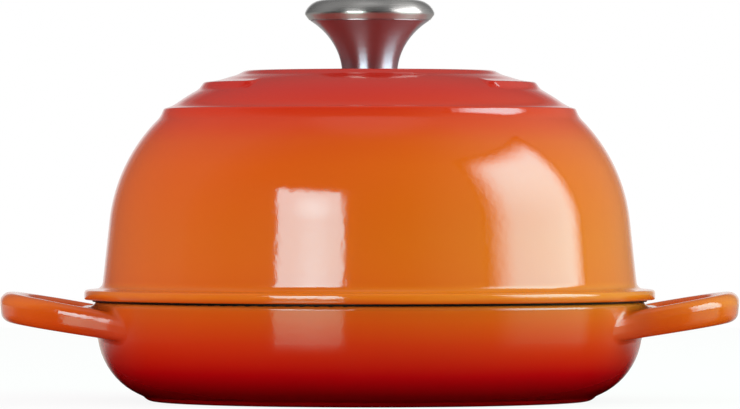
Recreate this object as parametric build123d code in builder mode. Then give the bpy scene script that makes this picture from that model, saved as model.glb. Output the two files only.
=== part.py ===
import os
from math import acos, cos, degrees, hypot, radians, sin, sqrt, tan

from build123d import *

os.makedirs("parts", exist_ok=True)

# Lengths are in millimetres and angles in degrees.
# The origin is the middle of the foot, on the surface that the pan stands on.

# Base pan
rim_radius = 122.5
rim_height = 44.0
pan_wall = 4.0
pan_wall_lean = 7.2  # outwards, from upright
rim_outer_round = 1.8
rim_inner_round = 1.0
foot_inset = 26.5  # of the flat that meets the surface, in from the rim
foot_pad_inset = 22.2  # of the low pad round the foot, in from the rim
foot_pad_rise = 2.1
heel_slope = 25.0  # of the underside beside the foot pad
heel_round = 31.0
heel_limit_share = 0.9  # of its shorter side, which is as far as the heel's round can run
floor_thickness = 5.2
floor_round = 28.0

# Raised rings on the pan's floor, under the loaf
floor_ring_shares = [0.315, 0.495, 0.675, 0.855]  # of the flat floor's radius
floor_ring_width = 5.0
floor_ring_rise = 1.2
floor_ring_round = 0.8

# Loop handles, cast in one with the pan
handle_reach = 41.4  # past the rim
handle_end_bow_share = 2.657  # the bows are shares of the reach
handle_corner_bow_share = 0.966
handle_side_bow_share = 1.691
handle_end_angle = 10.0
handle_corner_angle = 60.0
handle_side_angle = 34.0
handle_crest_drop = 2.2  # below the rim, at the root
handle_crest_tilt = 10.1
handle_root_depth = 12.3
handle_underside_tilt = 8.6
handle_root_inset = 32.0  # how far the loops run in past the rim before the pan is hollowed
handle_flare = 25.0
handle_draft = 6.0  # of the outer faces, which lean outwards as they rise
handle_root_round = 3.0
handle_web = 7.1  # between the rim and the finger gap
finger_gap_round = 5.0
rail_width = 11.4
rail_round = 4.4
rail_limit_share = 0.47  # of the rails' least thickness or width, as far as a round can run

# Lid
flange_overhang = 4.0  # past the pan's rim
flange_thickness = 5.0
flange_fall = 0.7  # of its upper side, towards the edge
flange_upper_round = 1.9
flange_lower_round = 0.8
flange_root_round = 2.8
seat_overhang = 0.4  # past the pan's rim
seat_depth = 0.9  # how far the seat stands below the flange
lip_depth = 4.0
lip_thickness = 3.6
lip_clearance = 1.4  # all round, inside the pan's rim
lip_round = 1.0
lip_run_out = 9.0  # height over which the inside of the lip runs out into the skirt
lid_wall = 4.1
skirt_inset = 7.9  # of the skirt's foot, in from the flange's edge
skirt_height = 30.1  # above the flange
skirt_lean = 6.2  # inwards, from upright
dome_bow = 74.6
crown_reach = 14.0  # of the flat that the knob stands on, out from the centre of the dome's arc
crown_edge_width = 3.7
crown_rise = 2.0
crown_round = 1.5
crown_thickness = 5.0
shoulder_ring_reach = 45.3  # of its inner edge, out from the centre of the dome's arc
shoulder_ring_width = 4.8
shoulder_ring_edge_width = 1.6
shoulder_ring_rise = 2.4
band_reach = 25.3  # of its inner edge, out from the centre of the dome's arc
band_width = 7.1
band_edge_width = 2.1
band_rise = 2.1
band_tuck_share = 0.25  # of its faces, by which they run on under the dome
band_gap_angle = 91.0  # each gap, at the front and at the back
ring_crest_round = 1.6

# Knob
stem_foot_radius = 12.3
stem_mouth_radius = 26.3
stem_height = 22.0  # to the edge of the flare
stem_collar = 2.1
stem_wall = 1.2
stem_curve_shares = [(0.064, 0.232), (0.271, 0.536), (0.564, 0.777)]
stem_hole_radius = 6.4
cap_overhang = 2.4  # past the stem's mouth
cap_rise = 7.5  # above the stem's collar
cap_shoulder_width = 7.7
cap_shoulder_fall = 6.0
cap_crown_fall = 0.4
cap_side = 0.8
cap_lower_overhang = 0.6  # past the stem's mouth
cap_lower_rise = 0.4  # above the edge of the stem's flare
cap_wall = 1.3
cap_ledge = 1.2
cap_fit = 0.1
cap_lower_round = 1.5

# Insert, screw and washer
thread_radius = 3.0
thread_fit = 0.05
screw_engagement = 11.0
screw_tip_clearance = 1.5
screw_tip_chamfer = 0.5
screw_head_radius = 6.0
screw_head_height = 3.8
screw_head_round = 2.4
cross_width = 1.8
cross_length = 6.6
cross_depth = 2.0
insert_fit = 0.3
insert_flange = 3.0
insert_boss_radius = 7.0
insert_end = 2.5  # over the end of the thread
insert_round = 0.8
washer_radius = 9.0
washer_thickness = 1.2
washer_clearance = 0.3
washer_round = 0.3
lid_hole_clearance = 0.6


def loop_outline(inset):
    """A handle's outline seen from above, moved in all round by inset."""
    with BuildLine() as outline:
        end = JernArc(
            (rim_radius + handle_reach - inset, 0),
            (0, 1),
            handle_reach * handle_end_bow_share - inset,
            handle_end_angle,
        )
        corner = JernArc(
            end @ 1,
            end % 1,
            handle_reach * handle_corner_bow_share - inset,
            handle_corner_angle,
        )
        side = JernArc(
            corner @ 1,
            corner % 1,
            handle_reach * handle_side_bow_share - inset,
            handle_side_angle,
        )
        Line(side @ 1, ((side @ 1).X, 0))
        mirror(about=Plane.XZ)
    return outline.edges()


def nearest(sketch, across, up):
    """The corner of a sketch that lies nearest to a point of it."""
    return sketch.vertices().sort_by_distance((across, up, 0))[0]


# Loop handle on the +X side
wall_slope = tan(radians(pan_wall_lean))
handle_crest = rim_height - handle_crest_drop
handle_underside = handle_crest - handle_root_depth
crest_slope = tan(radians(handle_crest_tilt))
underside_slope = tan(radians(handle_underside_tilt))
handle_low = handle_underside - handle_root_inset * underside_slope
handle_reach_height = handle_crest + handle_reach * crest_slope - rail_round
draft_slope = tan(radians(handle_draft))
wall_base_radius = rim_radius - rim_height * wall_slope
wall_low_radius = rim_radius - (rim_height - handle_low) * wall_slope
handle_blank_height = rim_height + handle_reach
handle_blank_reach = 2 * handle_reach
handle_blank_end = rim_radius + handle_blank_reach
handle_root = rim_radius - handle_root_inset
handle_growth = crest_slope - underside_slope
handle_root_thickness = handle_root_depth - handle_root_inset * handle_growth
handle_end_thickness = handle_root_depth + handle_reach * handle_growth
rail_low_width = rail_width - handle_end_thickness * draft_slope
rail_round_limit = rail_limit_share * min(handle_root_thickness, rail_low_width)
rail_start_radius = wall_low_radius + handle_root_round / 4

with BuildPart() as loop_handle:
    with BuildSketch() as loop_plan:
        make_face(loop_outline(handle_reach_height * draft_slope))
        half_width = loop_plan.sketch.bounding_box().max.Y
        meeting_radius = sqrt(wall_base_radius**2 - half_width**2)
        Circle(wall_base_radius)
        with Locations((handle_root, 0)):
            Rectangle(
                2 * wall_base_radius,
                2 * wall_base_radius,
                align=(Align.MIN, Align.CENTER),
                mode=Mode.INTERSECT,
            )
        fillet(
            [
                nearest(loop_plan, meeting_radius, half_width),
                nearest(loop_plan, meeting_radius, -half_width),
            ],
            handle_flare,
        )
    extrude(amount=handle_blank_height, taper=-handle_draft)
    with BuildSketch(Plane.XZ):
        with BuildLine():
            Polyline(
                (handle_root, handle_low),
                (handle_root, handle_low + handle_root_thickness),
                (handle_blank_end, handle_crest + handle_blank_reach * crest_slope),
                (handle_blank_end, handle_underside + handle_blank_reach * underside_slope),
                close=True,
            )
        make_face()
    extrude(amount=rim_radius, both=True, mode=Mode.INTERSECT)
    with BuildSketch() as finger_gap:
        make_face(loop_outline(rail_width + finger_gap_round))
        Circle(rim_radius + handle_web + finger_gap_round, mode=Mode.SUBTRACT)
        offset(amount=finger_gap_round)
    extrude(amount=handle_blank_height, mode=Mode.SUBTRACT)
    rail_edges = [
        edge
        for face in loop_handle.faces()
        if abs(face.normal_at().Z) > hypot(face.normal_at().X, face.normal_at().Y)
        for edge in face.edges()
        if hypot(edge.center().X, edge.center().Y) > rail_start_radius
    ]
    fillet(rail_edges, min(rail_round, rail_round_limit))

# Base pan
foot_radius = rim_radius - foot_inset
foot_pad_radius = rim_radius - foot_pad_inset
toe_slope = tan(radians(heel_slope))
heel_corner_height = (
    foot_pad_rise + (foot_pad_inset - rim_height * wall_slope) * toe_slope
) / (1 - wall_slope * toe_slope)
heel_corner_radius = rim_radius - (rim_height - heel_corner_height) * wall_slope
heel_half_turn = radians(90 - heel_slope - pan_wall_lean) / 2
heel_wall_length = (handle_underside - heel_corner_height) / cos(radians(pan_wall_lean))
heel_toe_length = (heel_corner_radius - foot_pad_radius) / cos(radians(heel_slope))
heel_round_limit = (
    heel_limit_share * min(heel_wall_length, heel_toe_length) / tan(heel_half_turn)
)
rim_inner_radius = rim_radius - pan_wall
floor_corner_radius = rim_inner_radius - (rim_height - floor_thickness) * wall_slope
floor_flat_radius = floor_corner_radius - floor_round * tan(
    radians(90 - pan_wall_lean) / 2
)

with BuildPart() as base_pan:
    with BuildSketch(Plane.XZ) as pan_section:
        with BuildLine():
            foot = Line((0, 0), (foot_radius, 0))
            pad_edge = TangentArc(
                foot @ 1, (foot_pad_radius, foot_pad_rise), tangent=foot % 1
            )
            heel = Line(pad_edge @ 1, (heel_corner_radius, heel_corner_height))
            wall = Line(heel @ 1, (rim_radius, rim_height))
            top = Line(wall @ 1, (0, rim_height))
            Line(top @ 1, foot @ 0)
        make_face()
        fillet(
            nearest(pan_section, heel_corner_radius, heel_corner_height),
            min(heel_round, heel_round_limit),
        )
        fillet(nearest(pan_section, rim_radius, rim_height), rim_outer_round)
    revolve(axis=Axis.Z)
    add(loop_handle.part)
    fillet(base_pan.edges(Select.NEW), handle_root_round)
    mirror(loop_handle.part, about=Plane.YZ)
    fillet(base_pan.edges(Select.NEW), handle_root_round)
    with BuildSketch(Plane.XZ) as pan_hollow:
        with BuildLine():
            floor = Line((0, floor_thickness), (floor_corner_radius, floor_thickness))
            inner_wall = Line(floor @ 1, (rim_inner_radius, rim_height))
            mouth = Line(inner_wall @ 1, (0, rim_height))
            Line(mouth @ 1, floor @ 0)
        make_face()
        fillet(nearest(pan_hollow, floor_corner_radius, floor_thickness), floor_round)
    revolve(axis=Axis.Z, mode=Mode.SUBTRACT)
    mouth_edge = base_pan.edges().filter_by(GeomType.CIRCLE).filter_by(
        lambda edge: abs(edge.radius - rim_inner_radius) < rim_inner_round / 2
    )
    fillet(mouth_edge, rim_inner_round)
    for share in floor_ring_shares:
        ring_radius = share * floor_flat_radius
        with BuildSketch(Plane.XY.offset(floor_thickness)):
            Circle(ring_radius + floor_ring_width / 2)
            Circle(ring_radius - floor_ring_width / 2, mode=Mode.SUBTRACT)
        extrude(amount=floor_ring_rise)
        ring_top = base_pan.faces(Select.LAST).filter_by(GeomType.PLANE).sort_by(Axis.Z)[-1]
        fillet(ring_top.edges(), floor_ring_round)
base_pan.part.label = "base_pan"

# Lid, its skirt and its lip
skirt_slope = tan(radians(skirt_lean))
seat_height = rim_height
seat_radius = rim_radius + seat_overhang
flange_radius = rim_radius + flange_overhang
flange_underside = seat_height + seat_depth
flange_top = flange_underside + flange_thickness
skirt_foot_radius = flange_radius - skirt_inset
skirt_top_height = flange_top + skirt_height
skirt_top_radius = skirt_foot_radius - skirt_height * skirt_slope
skirt_inner_radius = skirt_top_radius - lid_wall * cos(radians(skirt_lean))
skirt_inner_top = skirt_top_height - lid_wall * sin(radians(skirt_lean))
lip_outer_radius = rim_inner_radius - lip_clearance
lip_inner_radius = lip_outer_radius - lip_thickness
lip_bottom = seat_height - lip_depth
run_out_height = seat_height + lip_run_out
run_out_radius = skirt_inner_radius + (skirt_inner_top - run_out_height) * skirt_slope

# The lid's dome, an arc whose centre runs round the axis, with raised rings
dome_centre_radius = skirt_top_radius - dome_bow * cos(radians(skirt_lean))
dome_centre_height = skirt_top_height - dome_bow * sin(radians(skirt_lean))
inner_bow = dome_bow - lid_wall


def dome_angle(radius, bow=dome_bow):
    """The angle, up from level, at which the dome's arc passes a radius."""
    return degrees(acos((radius - dome_centre_radius) / bow))


def dome_height(radius):
    """The height of the plain dome's outside at a radius."""
    return dome_centre_height + dome_bow * sin(radians(dome_angle(radius)))


def dome_arc(from_radius, to_radius, bow=dome_bow):
    """A stretch of the dome's arc between two radii."""
    start = dome_angle(from_radius, bow)
    sweep = dome_angle(to_radius, bow) - start
    return CenterArc((dome_centre_radius, dome_centre_height), bow, start, sweep)


crown_radius = dome_centre_radius + crown_reach
crown_toe = crown_radius + crown_edge_width
crown_height = dome_height(crown_toe) + crown_rise
ceiling_height = crown_height - crown_thickness
ceiling_edge = dome_centre_radius + sqrt(
    inner_bow**2 - (ceiling_height - dome_centre_height) ** 2
)
shoulder_ring_inner = dome_centre_radius + shoulder_ring_reach
shoulder_ring_crest = shoulder_ring_inner + shoulder_ring_width
shoulder_ring_toe = shoulder_ring_crest + shoulder_ring_edge_width
shoulder_crest_height = dome_height(shoulder_ring_crest) + shoulder_ring_rise
band_inner = dome_centre_radius + band_reach
band_crest = band_inner + band_width
band_toe = band_crest + band_edge_width
band_root_bow = dome_bow - lid_wall / 2


def tucked_end(crest, toe):
    """The end of a raised face that runs on past its toe, under the dome."""
    return tuple(
        start + (end - start) * (1 + band_tuck_share) for start, end in zip(crest, toe)
    )


band_top = (band_crest, dome_height(band_crest) + band_rise)
band_inner_end = tucked_end(band_top, (band_inner, dome_height(band_inner)))
band_outer_end = tucked_end(band_top, (band_toe, dome_height(band_toe)))

# The band that is broken at the front and at the back
with BuildPart() as crown_band:
    with BuildSketch(Plane.XZ) as band_section:
        with BuildLine():
            band_root = dome_arc(band_inner_end[0], band_outer_end[0], band_root_bow)
            Polyline(
                band_root @ 0, band_inner_end, band_top, band_outer_end, band_root @ 1
            )
        make_face()
        fillet(nearest(band_section, *band_top), ring_crest_round)
    revolve(axis=Axis.Z)
    band_middle = (band_inner_end[0] + band_outer_end[0]) / 2
    slot_width = band_outer_end[0] - band_inner_end[0]
    round_end_angle = degrees(slot_width / 2 / band_middle)
    half_sweep = 90 - band_gap_angle / 2 - round_end_angle
    with BuildSketch():
        SlotArc(CenterArc((0, 0), band_middle, -half_sweep, 2 * half_sweep), slot_width)
        mirror(about=Plane.YZ)
    extrude(amount=crown_height, mode=Mode.INTERSECT)

with BuildPart() as lid_dome:
    with BuildSketch(Plane.XZ) as lid_section:
        with BuildLine():
            crown_flat = Line((0, crown_height), (crown_radius, crown_height))
            Line(crown_flat @ 1, (crown_toe, dome_height(crown_toe)))
            crown = dome_arc(crown_toe, shoulder_ring_inner)
            shoulder = Line(crown @ 1, (shoulder_ring_crest, shoulder_crest_height))
            Line(
                shoulder @ 1, (shoulder_ring_toe, dome_height(shoulder_ring_toe))
            )
            dome = dome_arc(shoulder_ring_toe, skirt_top_radius)
            skirt = Line(dome @ 1, (skirt_foot_radius, flange_top))
            flange_upper = Line(skirt @ 1, (flange_radius, flange_top - flange_fall))
            underside = Polyline(
                flange_upper @ 1,
                (flange_radius, flange_underside),
                (seat_radius, flange_underside),
                (seat_radius, seat_height),
                (lip_outer_radius, seat_height),
                (lip_outer_radius, lip_bottom),
                (lip_inner_radius, lip_bottom),
                (lip_inner_radius, seat_height),
                (run_out_radius, run_out_height),
                (skirt_inner_radius, skirt_inner_top),
            )
            ceiling_arc = dome_arc(skirt_inner_radius, ceiling_edge, inner_bow)
            ceiling = Line(ceiling_arc @ 1, (0, ceiling_height))
            Line(ceiling @ 1, crown_flat @ 0)
        make_face()
        fillet(nearest(lid_section, crown_radius, crown_height), crown_round)
        fillet(
            nearest(lid_section, shoulder_ring_crest, shoulder_crest_height),
            ring_crest_round,
        )
        fillet(nearest(lid_section, skirt_foot_radius, flange_top), flange_root_round)
        fillet(
            nearest(lid_section, flange_radius, flange_top - flange_fall),
            flange_upper_round,
        )
        fillet(nearest(lid_section, flange_radius, flange_underside), flange_lower_round)
        fillet(nearest(lid_section, lip_outer_radius, lip_bottom), lip_round)
        fillet(nearest(lid_section, lip_inner_radius, lip_bottom), lip_round)
    revolve(axis=Axis.Z)
    add(crown_band.part)
    with Locations((0, 0, crown_height)):
        Hole(thread_radius + lid_hole_clearance, depth=crown_thickness)
lid_dome.part.label = "lid_dome"

# Knob stem, a trumpet with its foot turned in
stem_edge_height = crown_height + stem_height
collar_top = stem_edge_height + stem_collar
stem_flare_width = stem_mouth_radius - stem_foot_radius

with BuildPart() as knob_stem:
    with BuildSketch(Plane.XZ):
        with BuildLine():
            stem_foot = Line((0, crown_height), (stem_foot_radius, crown_height))
            flare = Spline(
                stem_foot @ 1,
                *[
                    (
                        stem_foot_radius + across * stem_flare_width,
                        crown_height + up * stem_height,
                    )
                    for across, up in stem_curve_shares
                ],
                (stem_mouth_radius, stem_edge_height),
            )
            collar = Line(flare @ 1, (stem_mouth_radius, collar_top))
            stem_mouth = Line(collar @ 1, (0, collar_top))
            Line(stem_mouth @ 1, stem_foot @ 0)
        make_face()
    revolve(axis=Axis.Z)
    offset(
        amount=-stem_wall,
        openings=knob_stem.faces().filter_by(GeomType.PLANE).sort_by(Axis.Z)[-1],
    )
    with Locations((0, 0, crown_height)):
        Hole(stem_hole_radius, depth=stem_wall)
knob_stem.part.label = "knob_stem"

# Knob cap, its skirt round the stem's collar and its ledge on top of it
cap_top = collar_top + cap_rise
cap_radius = stem_mouth_radius + cap_overhang
cap_crown_radius = cap_radius - cap_shoulder_width
cap_side_top = cap_top - cap_shoulder_fall
cap_side_bottom = cap_side_top - cap_side
cap_lower_radius = stem_mouth_radius + cap_lower_overhang
cap_lower_height = stem_edge_height + cap_lower_rise
cap_seat_radius = stem_mouth_radius + cap_fit
cap_ledge_radius = stem_mouth_radius - cap_ledge

with BuildPart() as knob_cap:
    with BuildSketch(Plane.XZ) as cap_section:
        with BuildLine():
            cap_crown = Bezier(
                (0, cap_top),
                (cap_crown_radius / 2, cap_top),
                (cap_crown_radius, cap_top - cap_crown_fall),
            )
            cap_shoulder = TangentArc(
                cap_crown @ 1, (cap_radius, cap_side_top), tangent=cap_crown % 1
            )
            cap_inside = Polyline(
                cap_shoulder @ 1,
                (cap_radius, cap_side_bottom),
                (cap_lower_radius, cap_lower_height),
                (cap_seat_radius, cap_lower_height),
                (cap_seat_radius, collar_top),
                (cap_ledge_radius, collar_top),
                (cap_ledge_radius, cap_side_top),
                (cap_crown_radius, cap_top - cap_crown_fall - cap_wall),
            )
            cap_ceiling = Bezier(
                cap_inside @ 1,
                (cap_crown_radius / 2, cap_top - cap_wall),
                (0, cap_top - cap_wall),
            )
            Line(cap_ceiling @ 1, cap_crown @ 0)
        make_face()
        fillet(nearest(cap_section, cap_radius, cap_side_bottom), cap_lower_round)
    revolve(axis=Axis.Z)
knob_cap.part.label = "knob_cap"

# Threaded insert, its flange on the stem's turned-in foot
insert_seat = crown_height + stem_wall
insert_flange_radius = stem_foot_radius - stem_wall - insert_fit
thread_depth = screw_engagement + screw_tip_clearance

with BuildPart() as knob_insert:
    with BuildSketch(Plane.XY.offset(insert_seat)):
        Circle(insert_flange_radius)
    extrude(amount=insert_flange)
    with BuildSketch(Plane.XY.offset(insert_seat)):
        Circle(insert_boss_radius)
    extrude(amount=thread_depth + insert_end)
    fillet(knob_insert.faces().sort_by(Axis.Z)[-1].edges(), insert_round)
    with BuildSketch(Plane.XY.offset(insert_seat)):
        Circle(thread_radius + thread_fit)
    extrude(amount=thread_depth, mode=Mode.SUBTRACT)
knob_insert.part.label = "knob_insert"

# Screw and washer, put in from inside the lid
washer_bottom = ceiling_height - washer_thickness
screw_length = insert_seat + screw_engagement - washer_bottom

with BuildPart() as screw_washer:
    with BuildSketch(Plane.XY.offset(washer_bottom)):
        Circle(washer_radius)
        Circle(thread_radius + washer_clearance, mode=Mode.SUBTRACT)
    extrude(amount=washer_thickness)
    fillet(
        screw_washer.edges().group_by(Axis.Z)[0].sort_by(SortBy.LENGTH)[-1], washer_round
    )
screw_washer.part.label = "screw_washer"

with BuildPart() as knob_screw:
    with BuildSketch(Plane.XY.offset(washer_bottom)):
        Circle(thread_radius)
    extrude(amount=screw_length)
    chamfer(knob_screw.faces().sort_by(Axis.Z)[-1].edges(), screw_tip_chamfer)
    with BuildSketch(Plane.XY.offset(washer_bottom - screw_head_height)):
        Circle(screw_head_radius)
    extrude(amount=screw_head_height)
    fillet(knob_screw.faces().sort_by(Axis.Z)[0].edges(), screw_head_round)
    with BuildSketch(Plane.XY.offset(washer_bottom - screw_head_height)):
        Rectangle(cross_length, cross_width)
        Rectangle(cross_width, cross_length)
    extrude(amount=cross_depth, mode=Mode.SUBTRACT)
knob_screw.part.label = "knob_screw"

for piece in (
    base_pan,
    lid_dome,
    knob_stem,
    knob_cap,
    knob_insert,
    screw_washer,
    knob_screw,
):
    export_step(piece.part, f"parts/{piece.part.label}.step")
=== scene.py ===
import math

import bmesh
import bpy
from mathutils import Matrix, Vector


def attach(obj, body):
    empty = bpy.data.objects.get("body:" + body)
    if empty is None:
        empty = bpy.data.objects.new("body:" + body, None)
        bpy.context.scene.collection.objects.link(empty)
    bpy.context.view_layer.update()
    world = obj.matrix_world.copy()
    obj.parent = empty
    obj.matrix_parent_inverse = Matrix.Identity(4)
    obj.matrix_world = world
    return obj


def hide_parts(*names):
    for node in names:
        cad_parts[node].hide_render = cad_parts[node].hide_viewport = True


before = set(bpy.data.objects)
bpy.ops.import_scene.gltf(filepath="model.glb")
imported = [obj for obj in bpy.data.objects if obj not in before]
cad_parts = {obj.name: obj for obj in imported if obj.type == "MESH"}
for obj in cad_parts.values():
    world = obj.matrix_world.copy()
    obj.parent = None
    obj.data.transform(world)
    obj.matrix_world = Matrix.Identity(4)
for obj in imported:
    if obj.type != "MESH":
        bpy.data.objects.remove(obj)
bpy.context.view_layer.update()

mm = 0.001


# Small tools for nodes

def addNode(tree, kind, **settings):
    node = tree.nodes.new(kind)
    for name, value in settings.items():
        setattr(node, name, value)
    return node


def feed(tree, socket, value):
    if isinstance(value, (int, float)):
        socket.default_value = value
    elif isinstance(value, tuple):
        socket.default_value = (*value, 1)
    else:
        tree.links.new(value, socket)


def mathNode(tree, operation, *values):
    node = addNode(tree, "ShaderNodeMath", operation=operation)
    for index, value in enumerate(values):
        feed(tree, node.inputs[index], value)
    return node.outputs[0]


def smoothStep(tree, value, low, high):
    node = addNode(tree, "ShaderNodeMapRange", interpolation_type="SMOOTHSTEP")
    tree.links.new(value, node.inputs["Value"])
    node.inputs["From Min"].default_value = low
    node.inputs["From Max"].default_value = high
    return node.outputs["Result"]


def colourRamp(tree, value, stops):
    ramp = addNode(tree, "ShaderNodeValToRGB")
    tree.links.new(value, ramp.inputs["Fac"])
    elements = ramp.color_ramp.elements
    while len(elements) < len(stops):
        elements.new(1.0)
    for element, (place, colour) in zip(elements, stops):
        element.position = place
        element.color = (*colour, 1)
    return ramp.outputs["Color"]


def mixColour(tree, factor, first, second, blend="MIX"):
    node = addNode(tree, "ShaderNodeMix", data_type="RGBA", blend_type=blend)
    for index, value in ((0, factor), (6, first), (7, second)):
        feed(tree, node.inputs[index], value)
    return node.outputs[2]


def mixShaders(tree, *values):
    node = addNode(tree, "ShaderNodeMixShader")
    for index, value in enumerate(values):
        feed(tree, node.inputs[index], value)
    return node.outputs[0]


def noise(tree, vector, scale, detail=2.0, roughness=0.5, dimensions="3D"):
    node = addNode(tree, "ShaderNodeTexNoise", noise_dimensions=dimensions)
    tree.links.new(vector, node.inputs["Vector"])
    node.inputs["Scale"].default_value = scale
    node.inputs["Detail"].default_value = detail
    node.inputs["Roughness"].default_value = roughness
    return node.outputs["Fac"]


def bump(tree, height, distance, normal=None):
    node = addNode(tree, "ShaderNodeBump")
    node.inputs["Distance"].default_value = distance
    tree.links.new(height, node.inputs["Height"])
    if normal is not None:
        tree.links.new(normal, node.inputs["Normal"])
    return node.outputs["Normal"]


def separate(tree, vector):
    node = addNode(tree, "ShaderNodeSeparateXYZ")
    tree.links.new(vector, node.inputs[0])
    return node.outputs


def objectPlace(tree):
    place = addNode(tree, "ShaderNodeTexCoord").outputs["Object"]
    parts = separate(tree, place)
    across = mathNode(tree, "MULTIPLY", parts["X"], parts["X"])
    squared = mathNode(tree, "MULTIPLY_ADD", parts["Y"], parts["Y"], across)
    return place, mathNode(tree, "SQRT", squared), parts["Z"]


def clearedTree(block):
    block.use_nodes = True
    block.node_tree.nodes.clear()
    return block.node_tree


def setSurface(tree, kind, value):
    output = addNode(tree, f"ShaderNodeOutput{kind}")
    tree.links.new(value, output.inputs["Surface"])


def glow(tree, kind, colour, strength=1.0):
    node = addNode(tree, f"ShaderNode{kind}")
    feed(tree, node.inputs["Color"], colour)
    feed(tree, node.inputs["Strength"], strength)
    return node.outputs[0]


def newMaterial(name):
    material = bpy.data.materials.new(name)
    tree = clearedTree(material)
    shader = addNode(tree, "ShaderNodeBsdfPrincipled")
    setSurface(tree, "Material", shader.outputs[0])
    return material, tree, shader


def addObject(name, data):
    added = bpy.data.objects.new(name, data)
    bpy.context.scene.collection.objects.link(added)
    return added


def linear(red, green, blue):
    values = []
    for value in (red, green, blue):
        share = value / 255
        values.append(share / 12.92 if share <= 0.04045 else ((share + 0.055) / 1.055) ** 2.4)
    return tuple(values)


# Enamel, glossy and coloured outside

glossyEnamel = {
    "roughness": 0.08,
    "ior": 1.52,
    "peelScale": 330,
    "peelDepth": 0.00004,
    "finePeelScale": 1100,
    "finePeelDepth": 0.00001,
    "cloudScale": 22,
    "cloudShift": 0.002,
}


def makeGlossyEnamel(name, lowest, highest, stops):
    material, tree, shader = newMaterial(name)
    place, radius, height = objectPlace(tree)
    cloud = noise(tree, place, glossyEnamel["cloudScale"], 3)
    shifted = mathNode(tree, "MULTIPLY_ADD", cloud, glossyEnamel["cloudShift"], height)
    share = addNode(tree, "ShaderNodeMapRange")
    tree.links.new(shifted, share.inputs["Value"])
    middle = glossyEnamel["cloudShift"] / 2
    share.inputs["From Min"].default_value = lowest * mm + middle
    share.inputs["From Max"].default_value = highest * mm + middle
    places = [((z - lowest) / (highest - lowest), linear(*colour)) for z, colour in stops]
    colour = colourRamp(tree, share.outputs["Result"], places)
    peel = noise(tree, place, glossyEnamel["peelScale"], 1.5, 0.45)
    finePeel = noise(tree, place, glossyEnamel["finePeelScale"], 1)
    peeled = bump(tree, peel, glossyEnamel["peelDepth"])
    peeled = bump(tree, finePeel, glossyEnamel["finePeelDepth"], peeled)
    tree.links.new(colour, shader.inputs["Base Color"])
    tree.links.new(peeled, shader.inputs["Normal"])
    shader.inputs["Roughness"].default_value = glossyEnamel["roughness"]
    shader.inputs["IOR"].default_value = glossyEnamel["ior"]
    return material, tree, shader, colour, radius, height


# Enamel, satin black inside

satinEnamel = {
    "colour": (0.006, 0.0055, 0.0055),
    "roughness": 0.42,
    "ior": 1.25,
    "grainScale": 900,
    "grainDepth": 0.00003,
}


def makeSatinEnamel():
    material, tree, shader = newMaterial("satinBlackEnamel")
    place, *_ = objectPlace(tree)
    grain = noise(tree, place, satinEnamel["grainScale"], 3, 0.6)
    shader.inputs["Base Color"].default_value = (*satinEnamel["colour"], 1)
    shader.inputs["Roughness"].default_value = satinEnamel["roughness"]
    shader.inputs["IOR"].default_value = satinEnamel["ior"]
    tree.links.new(bump(tree, grain, satinEnamel["grainDepth"]), shader.inputs["Normal"])
    return material


# Turned and polished steel

steelFinish = {"leastSpread": 0.7, "markSpread": 0.6, "brushing": 0.85, "brushingTurn": 0.25}


def makeTurnedSteel(name, colour, roughness, markScale, markDepth):
    material, tree, shader = newMaterial(name)
    _, radius, height = objectPlace(tree)
    along = addNode(tree, "ShaderNodeCombineXYZ")
    tree.links.new(radius, along.inputs["X"])
    tree.links.new(height, along.inputs["Y"])
    marks = noise(tree, along.outputs[0], markScale, 4, 0.65, "2D")
    shader.inputs["Base Color"].default_value = (*colour, 1)
    shader.inputs["Metallic"].default_value = 1
    marked = roughness * steelFinish["markSpread"]
    spread = mathNode(tree, "MULTIPLY_ADD", marks, marked, roughness * steelFinish["leastSpread"])
    tree.links.new(spread, shader.inputs["Roughness"])
    tree.links.new(bump(tree, marks, markDepth), shader.inputs["Normal"])
    return material, tree, shader, height, spread


# Colour by height on the lid: the enamel's own gradient from orange at the flange to deep red at
# the crown; the darker red at the flange's lower edge is a painted reflection of red
lidEnamel, *_ = makeGlossyEnamel(
    "lidEnamel",
    44,
    150,
    [
        (44, (186, 56, 10)),
        (45.9, (204, 80, 14)),
        (47.2, (220, 104, 18)),
        (49.5, (224, 108, 20)),
        (54, (217, 95, 18)),
        (73, (216, 94, 15)),
        (104, (217, 86, 10)),
        (114, (214, 78, 12)),
        (121, (212, 62, 14)),
        (130, (206, 43, 14)),
        (137, (200, 33, 16)),
        (144, (193, 36, 26)),
    ],
)
# Colour by height on the pan: partly the enamel's own gradient from orange at the rim to deep red
# at the foot, partly painted shade darkening the lower wall, with a painted lighter band at the
# rim's top against the gap's shade; brighter red again at the very foot
panEnamel, panTree, panShader, panColour, panRadius, panHeight = makeGlossyEnamel(
    "panEnamel",
    0,
    50,
    [
        (0, (175, 4, 10)),
        (1.3, (165, 3, 8)),
        (2.2, (132, 2, 4)),
        (5, (130, 1, 4)),
        (9.3, (156, 1, 6)),
        (13.8, (181, 4, 8)),
        (18.2, (193, 24, 10)),
        (27, (201, 46, 12)),
        (36, (208, 70, 12)),
        (41, (212, 82, 14)),
        (43.4, (220, 98, 22)),
    ],
)

# Inside the pan and on top of its rim the enamel is satin black. At the handles' roots the gloss is
# a little softer, and the rim's rounded edge gets a painted highlight: a lighter orange that stands
# in for light against the gap's shade.

panInside = {"bowCentre": (88.8, 32.6), "bow": 30.0, "spread": 0.19, "blend": 0.15}
handleRoots = {
    "fromMiddle": (22.0, 38.0),  # along y, and the other two along x
    "inner": (94.0, 110.0),
    "outer": (131.0, 114.0),
    "softer": 0.17,
}
# painted highlight on the rim's rounded edge: the heights and radii it covers, and its lighter
# colour
rimPaintedLight = {"height": (42.3, 43.3), "radius": (124.0, 122.6), "colour": (255, 118, 40)}


def smoothStepMm(tree, value, span):
    return smoothStep(tree, value, *(length * mm for length in span))


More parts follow.
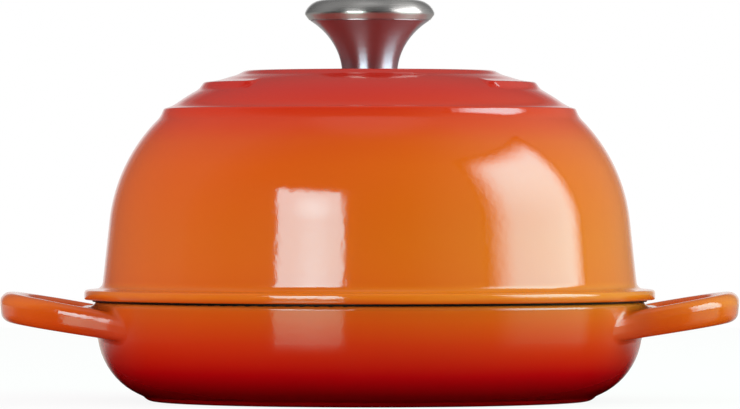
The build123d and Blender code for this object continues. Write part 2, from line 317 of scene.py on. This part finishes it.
def blackenInside(tree, shader, colour, radius, height):
    centreRadius, centreHeight = panInside["bowCentre"]
    outwards = mathNode(tree, "MAXIMUM", mathNode(tree, "SUBTRACT", radius, centreRadius * mm), 0)
    below = mathNode(tree, "SUBTRACT", centreHeight * mm, height)
    downwards = mathNode(tree, "MAXIMUM", below, 0)
    above = mathNode(tree, "MAXIMUM", mathNode(tree, "MULTIPLY", below, -panInside["spread"]), 0)
    across = mathNode(tree, "MULTIPLY", outwards, outwards)
    away = mathNode(tree, "SQRT", mathNode(tree, "MULTIPLY_ADD", downwards, downwards, across))
    reach = mathNode(tree, "SUBTRACT", away, above)
    edge = mathNode(tree, "SUBTRACT", reach, panInside["bow"] * mm)
    coloured = smoothStep(tree, edge, -panInside["blend"] * mm, panInside["blend"] * mm)
    # Painted highlight: a lighter orange on the rim's rounded edge that stands in for light in the
    # gap's shade
    line = mathNode(
        tree,
        "MULTIPLY",
        smoothStepMm(tree, height, rimPaintedLight["height"]),
        smoothStepMm(tree, radius, rimPaintedLight["radius"]),
    )
    rimLitColour = mixColour(tree, line, colour, linear(*rimPaintedLight["colour"]))
    mixed = mixColour(tree, coloured, satinEnamel["colour"], rimLitColour)
    tree.links.new(mixed, shader.inputs["Base Color"])
    gloss = addNode(tree, "ShaderNodeMapRange")
    tree.links.new(coloured, gloss.inputs["Value"])
    gloss.inputs["To Min"].default_value = satinEnamel["roughness"]
    gloss.inputs["To Max"].default_value = glossyEnamel["roughness"]
    parts = separate(tree, addNode(tree, "ShaderNodeTexCoord").outputs["Object"])
    across = mathNode(tree, "ABSOLUTE", parts["X"])
    fromMiddle = mathNode(tree, "ABSOLUTE", parts["Y"])
    share = smoothStepMm(tree, fromMiddle, handleRoots["fromMiddle"])
    for span in (handleRoots["inner"], handleRoots["outer"]):
        share = mathNode(tree, "MULTIPLY", share, smoothStepMm(tree, across, span))
    softer = mathNode(tree, "MULTIPLY_ADD", share, handleRoots["softer"], gloss.outputs[0])
    tree.links.new(softer, shader.inputs["Roughness"])


blackenInside(panTree, panShader, panColour, panRadius, panHeight)
satinBlackEnamel = makeSatinEnamel()
polishedSteel, capTree, capShader, capHeight, capSpread = makeTurnedSteel(
    "polishedSteel", (0.62, 0.605, 0.59), 0.28, 5200, 0.000001
)
# The stem's steel is tinted purple-red and darkened: a painted reflection of the red lid around it
satinSteel, stemTree, stemShader, *_ = makeTurnedSteel(
    "satinSteel", (0.48, 0.42, 0.46), 0.36, 5200, 0.0000003
)
turnedSteel, *_ = makeTurnedSteel("turnedSteel", (0.5, 0.5, 0.5), 0.35, 1200, 0.00001)

# The cap's lower lip is less polished than its top, and both are brushed around

capLip = {"from": 171.2, "to": 171.8, "spread": 0.42}
upperShare = smoothStepMm(capTree, capHeight, (capLip["from"], capLip["to"]))
lipMix = addNode(capTree, "ShaderNodeMix")
for index, value in ((0, upperShare), (2, capLip["spread"]), (3, capSpread)):
    feed(capTree, lipMix.inputs[index], value)
capTree.links.new(lipMix.outputs[0], capShader.inputs["Roughness"])
for tree, shader in ((capTree, capShader), (stemTree, stemShader)):
    around = addNode(tree, "ShaderNodeTangent", direction_type="RADIAL", axis="Z")
    tree.links.new(around.outputs[0], shader.inputs["Tangent"])
    shader.inputs["Anisotropic"].default_value = steelFinish["brushing"]
    shader.inputs["Anisotropic Rotation"].default_value = steelFinish["brushingTurn"]
print("materials ready")

# CAD nodes that keep their shape

finishes = {
    "base_pan": panEnamel,
    "knob_cap": polishedSteel,
    "knob_stem": satinSteel,
    "knob_insert": turnedSteel,
    "knob_screw": turnedSteel,
    "screw_washer": turnedSteel,
}
for nodeName, material in finishes.items():
    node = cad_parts[nodeName]
    node.data.materials.clear()
    node.data.materials.append(material)
print("frame nodes finished")


# Profiles, as points (radius, height) in millimetres

leastStep = 0.02  # points closer together than this are one
mergeDistance = 0.00002


def arcPoints(centre, bow, start, end, step=1.5):
    steps = max(2, math.ceil(abs(end - start) / step))
    points = []
    for index in range(steps + 1):
        angle = math.radians(start + (end - start) * index / steps)
        points.append((centre[0] + bow * math.cos(angle), centre[1] + bow * math.sin(angle)))
    return points


def softened(path, corners, steps=8):
    places = [Vector(point) for point in path]
    lengths = [0.0]
    for before, after in zip(places, places[1:]):
        lengths.append(lengths[-1] + (after - before).length)

    def along(length):
        for index in range(1, len(lengths)):
            if length <= lengths[index]:
                span = lengths[index] - lengths[index - 1]
                return places[index - 1].lerp(places[index], (length - lengths[index - 1]) / span)
        return places[-1]

    def lengthAt(corner):
        return min(zip(places, lengths), key=lambda item: (item[0] - Vector(corner)).length)[1]

    kept = []
    spans = []
    for corner, reach in corners:
        middle = lengthAt(corner)
        spans.append((middle - reach, middle, middle + reach))
    for place, length in zip(places, lengths):
        if all(length <= low or length >= high for low, middle, high in spans):
            kept.append((length, place))
    for low, middle, high in spans:
        first, bend, last = along(low), along(middle), along(high)
        for index in range(1, steps):
            share = index / steps
            place = first.lerp(bend, share).lerp(bend.lerp(last, share), share)
            kept.append((low + (high - low) * share, place))
        kept += [(low, first), (high, last)]
    kept.sort(key=lambda item: item[0])
    points = []
    for length, place in kept:
        if not points or (place - points[-1]).length > leastStep:
            points.append(place)
    return points


def spinPath(bm, points, stretches, materialIndex=0):
    verts = [bm.verts.new((place[0] * mm, 0, place[1] * mm)) for place in points]
    edges = [bm.edges.new(pair) for pair in zip(verts, verts[1:])]
    before = set(bm.faces)
    line = verts + edges
    for angle, steps in stretches:
        turned = bmesh.ops.spin(
            bm, geom=line, cent=(0, 0, 0), axis=(0, 0, 1), angle=math.radians(angle), steps=steps
        )
        line = turned["geom_last"]
    for face in bm.faces:
        if face not in before:
            face.material_index = materialIndex


def closePiece(name, bm, body, nodeNames, materials):
    bmesh.ops.remove_doubles(bm, verts=bm.verts, dist=mergeDistance)
    bmesh.ops.recalc_face_normals(bm, faces=bm.faces)
    for face in bm.faces:
        face.smooth = True
    mesh = bpy.data.meshes.new(name)
    bm.to_mesh(mesh)
    bm.free()
    piece = addObject(name, mesh)
    for material in materials:
        mesh.materials.append(material)
    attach(piece, body)
    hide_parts(*nodeNames)
    return piece


# Lid: a stepped dome in gloss enamel outside and satin black inside

lid = {
    "skirtFoot": 118.6,
    "skirtLean": 6.2,
    "flangeTop": 49.9,
    "flangeEdge": 126.5,
    "flangeFall": 0.7,
    "flangeUnderside": 44.9,
    "seatRadius": 122.9,
    "seatHeight": 44.0,
    "lipOuter": 117.1,
    "lipInner": 113.5,
    "lipBottom": 40.0,
    "runOut": 53.0,
    "wall": 4.1,
    "skirtTop": 80.0,
    "bow": 74.6,
    "crownReach": 14.0,
    "crownEdge": 3.7,
    "crownRise": 2.0,
    "crownThickness": 5.0,
    "shoulderReach": 45.3,
    "shoulderWidth": 4.8,
    "shoulderEdge": 1.6,
    "shoulderRise": 2.4,
    "shoulderSweep": 2.0,  # how far each ring's top starts to rise before its inner edge
    "bandReach": 25.3,
    "bandWidth": 7.1,
    "bandEdge": 2.1,
    "bandRise": 2.1,
    "bandSweep": 2.5,
    "crestFall": 0.05,  # slope of a ring's top where it meets its crest
    "bandHalfGap": 45.5,
    "bandEndRamp": 2.6,
    "bandClear": 2.5,  # how far beside the band its gaps are flattened too
    "sweepSteps": 10,
    "fineStep": 0.4,
    "fineSpan": 14,
    "broadSteps": 52,
}
lidSoftening = {  # how far each corner's rounding reaches along the profile
    "crownEdge": 1.3,
    "crownToe": 1.8,
    "crest": 0.9,
    "bandToe": 1.5,
    "shoulderToe": 2.0,
    "flangeRoot": 3.0,
    "flangeTop": 1.5,
    "flangeBottom": 0.9,
    "seatCorner": 0.3,
    "lipTip": 0.9,
    "lipRoot": 1.5,
    "runOut": 3.0,
    "ceilingEdge": 6.0,
}


def makeLid():
    lean = math.radians(lid["skirtLean"])
    slope = math.tan(lean)
    topRadius = lid["skirtFoot"] - (lid["skirtTop"] - lid["flangeTop"]) * slope
    centre = (
        topRadius - lid["bow"] * math.cos(lean),
        lid["skirtTop"] - lid["bow"] * math.sin(lean),
    )

    def onDome(radius, bow=lid["bow"]):
        return centre[1] + math.sqrt(bow**2 - (radius - centre[0]) ** 2)

    def domeArc(fromRadius, toRadius, bow=lid["bow"]):
        first, last = (
            math.degrees(math.acos((radius - centre[0]) / bow)) for radius in (fromRadius, toRadius)
        )
        return arcPoints(centre, bow, first, last)

    crownEdge = centre[0] + lid["crownReach"]
    crownToe = crownEdge + lid["crownEdge"]
    crownTop = onDome(crownToe) + lid["crownRise"]
    bandInner = centre[0] + lid["bandReach"]
    bandCrest = bandInner + lid["bandWidth"]
    bandToe = bandCrest + lid["bandEdge"]
    shoulderInner = centre[0] + lid["shoulderReach"]
    shoulderCrest = shoulderInner + lid["shoulderWidth"]
    shoulderToe = shoulderCrest + lid["shoulderEdge"]
    bandTop = (bandCrest, onDome(bandCrest) + lid["bandRise"])
    shoulderTop = (shoulderCrest, onDome(shoulderCrest) + lid["shoulderRise"])
    flangeCorner = (lid["flangeEdge"], lid["flangeTop"] - lid["flangeFall"])
    bandFoot = bandInner - lid["bandSweep"]
    shoulderFoot = shoulderInner - lid["shoulderSweep"]

    def sweptUp(foot, crest):
        start = (foot, onDome(foot))
        fall = (foot - centre[0]) / (onDome(foot) - centre[1])
        level = lid["crestFall"]
        across = (start[1] - crest[1] - level * (crest[0] - foot)) / (fall - level)
        bend = Vector((foot + across, start[1] - fall * across))
        first, last = Vector(start), Vector(crest)
        steps = lid["sweepSteps"]
        shares = [index / steps for index in range(1, steps + 1)]
        return [first.lerp(bend, share).lerp(bend.lerp(last, share), share) for share in shares]

    outside = [(0, crownTop), (crownEdge, crownTop)]
    outside += domeArc(crownToe, bandFoot)
    outside += sweptUp(bandFoot, bandTop)
    outside += domeArc(bandToe, shoulderFoot)
    outside += sweptUp(shoulderFoot, shoulderTop)
    outside += domeArc(shoulderToe, topRadius)
    outside += [
        (lid["skirtFoot"], lid["flangeTop"]),
        flangeCorner,
        (lid["flangeEdge"], lid["flangeUnderside"]),
        ((lid["flangeEdge"] + lid["seatRadius"]) / 2, lid["flangeUnderside"]),
    ]
    corners = [
        ((crownEdge, crownTop), lidSoftening["crownEdge"]),
        ((crownToe, onDome(crownToe)), lidSoftening["crownToe"]),
        (bandTop, lidSoftening["crest"]),
        ((bandToe, onDome(bandToe)), lidSoftening["bandToe"]),
        (shoulderTop, lidSoftening["crest"]),
        ((shoulderToe, onDome(shoulderToe)), lidSoftening["shoulderToe"]),
        ((lid["skirtFoot"], lid["flangeTop"]), lidSoftening["flangeRoot"]),
        (flangeCorner, lidSoftening["flangeTop"]),
        ((lid["flangeEdge"], lid["flangeUnderside"]), lidSoftening["flangeBottom"]),
    ]
    outerLine = softened(outside, corners)
    innerBow = lid["bow"] - lid["wall"]
    ceiling = crownTop - lid["crownThickness"]
    ceilingEdge = centre[0] + math.sqrt(innerBow**2 - (ceiling - centre[1]) ** 2)
    skirtInner = topRadius - lid["wall"] * math.cos(lean)
    skirtInnerTop = lid["skirtTop"] - lid["wall"] * math.sin(lean)
    inside = [
        outside[-1],
        (lid["seatRadius"], lid["flangeUnderside"]),
        (lid["seatRadius"], lid["seatHeight"]),
        (lid["lipOuter"], lid["seatHeight"]),
        (lid["lipOuter"], lid["lipBottom"]),
        (lid["lipInner"], lid["lipBottom"]),
        (lid["lipInner"], lid["seatHeight"]),
        (skirtInner + (skirtInnerTop - lid["runOut"]) * slope, lid["runOut"]),
    ]
    inside += domeArc(skirtInner, ceilingEdge, innerBow)
    inside += [(0, ceiling)]
    innerCorners = [
        (inside[2], lidSoftening["seatCorner"]),
        (inside[4], lidSoftening["lipTip"]),
        (inside[5], lidSoftening["lipTip"]),
        (inside[6], lidSoftening["lipRoot"]),
        (inside[7], lidSoftening["runOut"]),
        ((ceilingEdge, ceiling), lidSoftening["ceilingEdge"]),
    ]
    innerLine = softened(inside, innerCorners)

    # Columns are close together where the band ends, and wider apart elsewhere
    halfGap = lid["bandHalfGap"]
    fineSteps = round(lid["fineSpan"] / lid["fineStep"])
    gap = 2 * halfGap - lid["fineSpan"]
    band = 180 - 2 * halfGap - lid["fineSpan"]
    broadSteps = lid["broadSteps"] // 2
    quarter = [(band / 2, broadSteps), (lid["fineSpan"], fineSteps), (gap / 2, broadSteps)]
    stretches = (quarter + quarter[::-1]) * 2
    bm = bmesh.new()
    spinPath(bm, outerLine, stretches, 0)
    spinPath(bm, innerLine, stretches, 1)
    flattenGaps(bm, centre, bandFoot, bandToe)
    closePiece("lidShell", bm, "lid", ["lid_dome"], [lidEnamel, satinBlackEnamel])


def flattenGaps(bm, centre, inner, toe):
    middle, halfWidth = (inner + toe) / 2, (toe - inner) / 2
    reach = halfWidth + lid["bandClear"]
    for vert in bm.verts:
        radius = math.hypot(vert.co.x, vert.co.y) / mm
        height = vert.co.z / mm
        if abs(radius - middle) > reach or height < centre[1]:
            continue
        away = math.hypot(radius - centre[0], height - centre[1])
        if away < lid["bow"] - lid["wall"] / 2:
            continue
        fromSide = math.degrees(abs(math.atan2(vert.co.y, abs(vert.co.x))))
        tip = math.sqrt(max(halfWidth**2 - (radius - middle) ** 2, 0)) - halfWidth
        beyond = math.radians(fromSide - (90 - lid["bandHalfGap"])) * middle - tip
        share = min(max(0.5 - beyond / lid["bandEndRamp"], 0), 1)
        share = share * share * (3 - 2 * share)
        plain = lid["bow"] / away
        flat = (
            centre[0] + (radius - centre[0]) * plain,
            centre[1] + (height - centre[1]) * plain,
        )
        newRadius = flat[0] + (radius - flat[0]) * share
        newHeight = flat[1] + (height - flat[1]) * share
        scale = newRadius / radius
        vert.co = (vert.co.x * scale, vert.co.y * scale, newHeight * mm)


makeLid()
print("lid ready")

# Camera

camera = {
    "lens": 339.4,
    "distance": 3.094,
    "height": 0.096,
    "aimHeight": 0.087,
    "aside": 0.00013,
    "sensor": 36,
    "clipEnd": 20,
}


def makeCamera():
    data = bpy.data.cameras.new("camera")
    data.sensor_width = camera["sensor"]
    data.lens = camera["lens"]
    data.clip_end = camera["clipEnd"]
    eye = addObject("camera", data)
    eye.location = (camera["aside"], -camera["distance"], camera["height"])
    aim = Vector((camera["aside"], 0, camera["aimHeight"])) - eye.location
    eye.rotation_euler = aim.to_track_quat("-Z", "Y").to_euler()
    bpy.context.scene.camera = eye


# Studio: a white floor, a room, two softboxes that show in the enamel, two lamps that
# light it, and two more lamps for the steel alone

studio = {
    "floorRadius": 1.6,
    "floorSegments": 64,
    "floorWhite": 0.9,
    "floorGrey": 0.85,
    "floorMirror": {"spread": 0.16, "share": 0.34, "near": 0.14, "far": 0.33, "rightShare": 0.35},
    "floorMirrorTint": (1.0, 1.05, 0.8),
    "floorBehind": {"from": 0.02, "to": 0.2, "level": 0.4},
    "plainLight": 0.82,
    "room": [  # from front to back
        (0, 0.03),
        (0.3, 0.04),
        (0.45, 0.18),
        (0.52, 0.28),
        (0.75, 0.24),
        (0.88, 0.17),
        (0.94, 0.14),
        (0.975, 0.35),
        (0.99, 0.85),
    ],
    "overhead": {"from": 0.3, "to": 0.8, "level": 0.07},
    "zenith": {"from": 0.94, "to": 1.0, "level": 0.35},
    "rightwards": {"from": 0.2, "to": 0.7, "level": 0.2},
    "lamps": {
        "rightLamp": {
            "place": (1.75, -0.15, 0.6),
            "size": (1.2, 1.2),
            "strength": 42.0,
            "colour": (0.34, 1.1, 0.7),
        },
        "leftLamp": {
            "place": (-1.6, -0.9, 0.6),
            "size": (1.2, 1.2),
            "strength": 10.0,
            "colour": (0.8, 0.95, 1.0),
        },
    },
    "steelLamps": {
        "leftSteelLamp": {"turn": -26.6, "rise": 15.7, "size": (0.83, 0.84), "strength": 11.0},
        "rightSteelLamp": {"turn": 78.0, "rise": 23.0, "size": (1.55, 1.27), "strength": 24.0},
    },
    "steelLampDistance": 1.5,
    "boxHeight": 0.08,  # the boxes stand at this height and the lamps aim at it
    "boxGrid": 24,
    "boxColour": (0.42, 0.93, 1.0),
    "leftBox": {
        "lowSides": (-38.0, -9.5),  # directions in degrees from the front
        "highSides": (-44.5, -12.2),
        "lowest": 0,
        "highest": 31.5,
        "distance": 2.2,
        "softSides": (0.03, 0.03),
        "softEnds": (0.01, 0.05),
        "level": 11.0,
        "hotPlace": (0.55, 0.62),
        "hotReach": 0.4,
        "hotLevel": 4.5,
    },
    "rightBox": {
        "lowSides": (50.0, 106.0),
        "highSides": (49.0, 107.0),
        "lowest": 0,
        "highest": 48.5,
        "distance": 2.0,
        "softSides": (0.3, 0.18),
        "softEnds": (0.02, 0.22),
        "level": 8.0,
        "hotPlace": (0.45, 0.75),
        "hotReach": 0.6,
        "hotLevel": 2.6,
    },
}


def makeFloor():
    bm = bmesh.new()
    bmesh.ops.create_circle(
        bm, cap_ends=True, segments=studio["floorSegments"], radius=studio["floorRadius"]
    )
    mesh = bpy.data.meshes.new("floor")
    bm.to_mesh(mesh)
    bm.free()
    floor = addObject("floor", mesh)
    material = bpy.data.materials.new("floorWhite")
    tree = clearedTree(material)
    plain = addNode(tree, "ShaderNodeBsdfDiffuse")
    plain.inputs["Color"].default_value = (*(studio["floorGrey"],) * 3, 1)
    white = glow(tree, "Emission", (1, 1, 1))
    seen = mixShaders(tree, studio["floorWhite"], plain.outputs[0], white)
    gloss = studio["floorMirror"]
    place, radius, _ = objectPlace(tree)
    parts = separate(tree, place)
    far = smoothStep(tree, radius, gloss["near"], gloss["far"])
    mirrored = mathNode(tree, "MULTIPLY", far, gloss["share"])
    rightward = smoothStep(tree, parts["X"], 0, gloss["near"])
    dimmed = mathNode(tree, "MULTIPLY_ADD", rightward, gloss["rightShare"] - 1, 1)
    share = mathNode(tree, "MULTIPLY", mirrored, dimmed)
    mirror = addNode(tree, "ShaderNodeBsdfGlossy")
    mirror.inputs["Roughness"].default_value = gloss["spread"]
    tint = mixColour(tree, share, (0, 0, 0), studio["floorMirrorTint"])
    tree.links.new(tint, mirror.inputs["Color"])
    behind = studio["floorBehind"]
    backward = smoothStep(tree, parts["Y"], behind["from"], behind["to"])
    level = mathNode(tree, "MULTIPLY", backward, behind["level"])
    glossy = addNode(tree, "ShaderNodeAddShader")
    tree.links.new(mirror.outputs[0], glossy.inputs[0])
    tree.links.new(glow(tree, "Emission", (1, 1, 1), level), glossy.inputs[1])
    rays = addNode(tree, "ShaderNodeLightPath").outputs
    other = mixShaders(tree, rays["Is Glossy Ray"], plain.outputs[0], glossy.outputs[0])
    setSurface(tree, "Material", mixShaders(tree, rays["Is Camera Ray"], other, seen))
    mesh.materials.append(material)


def makeSoftbox(name, box):
    bm = bmesh.new()
    grid = studio["boxGrid"]
    bmesh.ops.create_grid(bm, x_segments=grid, y_segments=grid, size=0.5)
    layer = bm.loops.layers.uv.new("UVMap")
    for face in bm.faces:
        for loop in face.loops:
            loop[layer].uv = (loop.vert.co.x + 0.5, loop.vert.co.y + 0.5)
    for vert in bm.verts:
        across, up = vert.co.x + 0.5, vert.co.y + 0.5
        low = box["lowSides"][0] + (box["lowSides"][1] - box["lowSides"][0]) * across
        high = box["highSides"][0] + (box["highSides"][1] - box["highSides"][0]) * across
        turn = math.radians(low + (high - low) * up)
        rise = math.radians(box["lowest"] + (box["highest"] - box["lowest"]) * up)
        level = box["distance"] * math.cos(rise)
        vert.co = (
            math.sin(turn) * level,
            -math.cos(turn) * level,
            studio["boxHeight"] + box["distance"] * math.sin(rise),
        )
    mesh = bpy.data.meshes.new(name)
    bm.to_mesh(mesh)
    bm.free()
    card = addObject(name, mesh)
    card.visible_camera = False
    card.visible_diffuse = False
    card.visible_shadow = False
    material = bpy.data.materials.new(name)
    tree = clearedTree(material)
    place = addNode(tree, "ShaderNodeTexCoord").outputs["UV"]
    parts = separate(tree, place)
    edges = []
    for axis, softLow, softHigh in (("X", *box["softSides"]), ("Y", *box["softEnds"])):
        low = smoothStep(tree, parts[axis], 0, softLow)
        high = smoothStep(tree, mathNode(tree, "SUBTRACT", 1, parts[axis]), 0, softHigh)
        edges.append(mathNode(tree, "MULTIPLY", low, high))
    away = addNode(tree, "ShaderNodeVectorMath", operation="DISTANCE")
    tree.links.new(place, away.inputs[0])
    away.inputs[1].default_value = (*box["hotPlace"], 0)
    near = mathNode(tree, "SUBTRACT", box["hotReach"], away.outputs["Value"])
    heat = smoothStep(tree, near, 0, box["hotReach"])
    level = mathNode(tree, "MULTIPLY_ADD", heat, box["hotLevel"], box["level"])
    shape = mathNode(tree, "MULTIPLY", *edges)
    colour = mixColour(tree, shape, (1, 1, 1), studio["boxColour"])
    strength = mathNode(tree, "MULTIPLY", shape, level)
    setSurface(tree, "Material", glow(tree, "Emission", colour, strength))
    mesh.materials.append(material)
    card.light_linking.receiver_collection = receivers["enamel"]


def makeLamp(name, values, place):
    data = bpy.data.lights.new(name, "AREA")
    data.shape = "RECTANGLE"
    data.size, data.size_y = values["size"]
    data.energy = values["strength"]
    lamp = addObject(name, data)
    lamp.location = place
    aim = Vector((0, 0, studio["boxHeight"])) - place
    lamp.rotation_euler = aim.to_track_quat("-Z", "Y").to_euler()
    lamp.visible_camera = False
    return lamp


def makeSteelLamp(name, values):
    turn, rise = math.radians(values["turn"]), math.radians(values["rise"])
    level = math.cos(rise)
    away = Vector((math.sin(turn) * level, -math.cos(turn) * level, math.sin(rise)))
    place = Vector((0, 0, studio["boxHeight"])) + away * studio["steelLampDistance"]
    lamp = makeLamp(name, values, place)
    lamp.visible_shadow = False
    lamp.light_linking.receiver_collection = receivers["steel"]


def makeEnamelLamp(name, values):
    lamp = makeLamp(name, values, Vector(values["place"]))
    lamp.data.color = values["colour"]
    lamp.visible_glossy = False


def makeWorld():
    world = bpy.data.worlds.new("studio")
    bpy.context.scene.world = world
    tree = clearedTree(world)
    parts = separate(tree, addNode(tree, "ShaderNodeTexCoord").outputs["Generated"])
    level = colourRamp(
        tree,
        mathNode(tree, "MULTIPLY_ADD", parts["Y"], 0.5, 0.5),
        [(share, (level, level, level)) for share, level in studio["room"]],
    )
    for name, axis in (("overhead", "Z"), ("zenith", "Z"), ("rightwards", "X")):
        extra = studio[name]
        share = smoothStep(tree, parts[axis], extra["from"], extra["to"])
        raised = mixColour(tree, 1, level, (extra["level"],) * 3, "ADD")
        level = mixColour(tree, share, level, raised)
    room = glow(tree, "Background", level)
    plain = glow(tree, "Background", (1, 1, 1), studio["plainLight"])
    white = glow(tree, "Background", (1, 1, 1))
    rays = addNode(tree, "ShaderNodeLightPath").outputs
    inner = mixShaders(tree, rays["Is Glossy Ray"], plain, room)
    setSurface(tree, "World", mixShaders(tree, rays["Is Camera Ray"], inner, white))


makeCamera()
makeFloor()
receivers = {  # what the softboxes light, and what the steel lamps light
    "enamel": ("lidShell", "base_pan", "floor"),
    "steel": ("knob_cap", "knob_stem", "knob_insert", "knob_screw", "screw_washer"),
}
for group, names in receivers.items():
    receivers[group] = bpy.data.collections.new(group)
    for name in names:
        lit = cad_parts[name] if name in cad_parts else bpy.data.objects[name]
        receivers[group].objects.link(lit)
makeSoftbox("leftSoftbox", studio["leftBox"])
makeSoftbox("rightSoftbox", studio["rightBox"])
for lampName, values in studio["lamps"].items():
    makeEnamelLamp(lampName, values)
for lampName, values in studio["steelLamps"].items():
    makeSteelLamp(lampName, values)
makeWorld()
bpy.context.scene.view_settings.view_transform = "Standard"
print("studio ready")
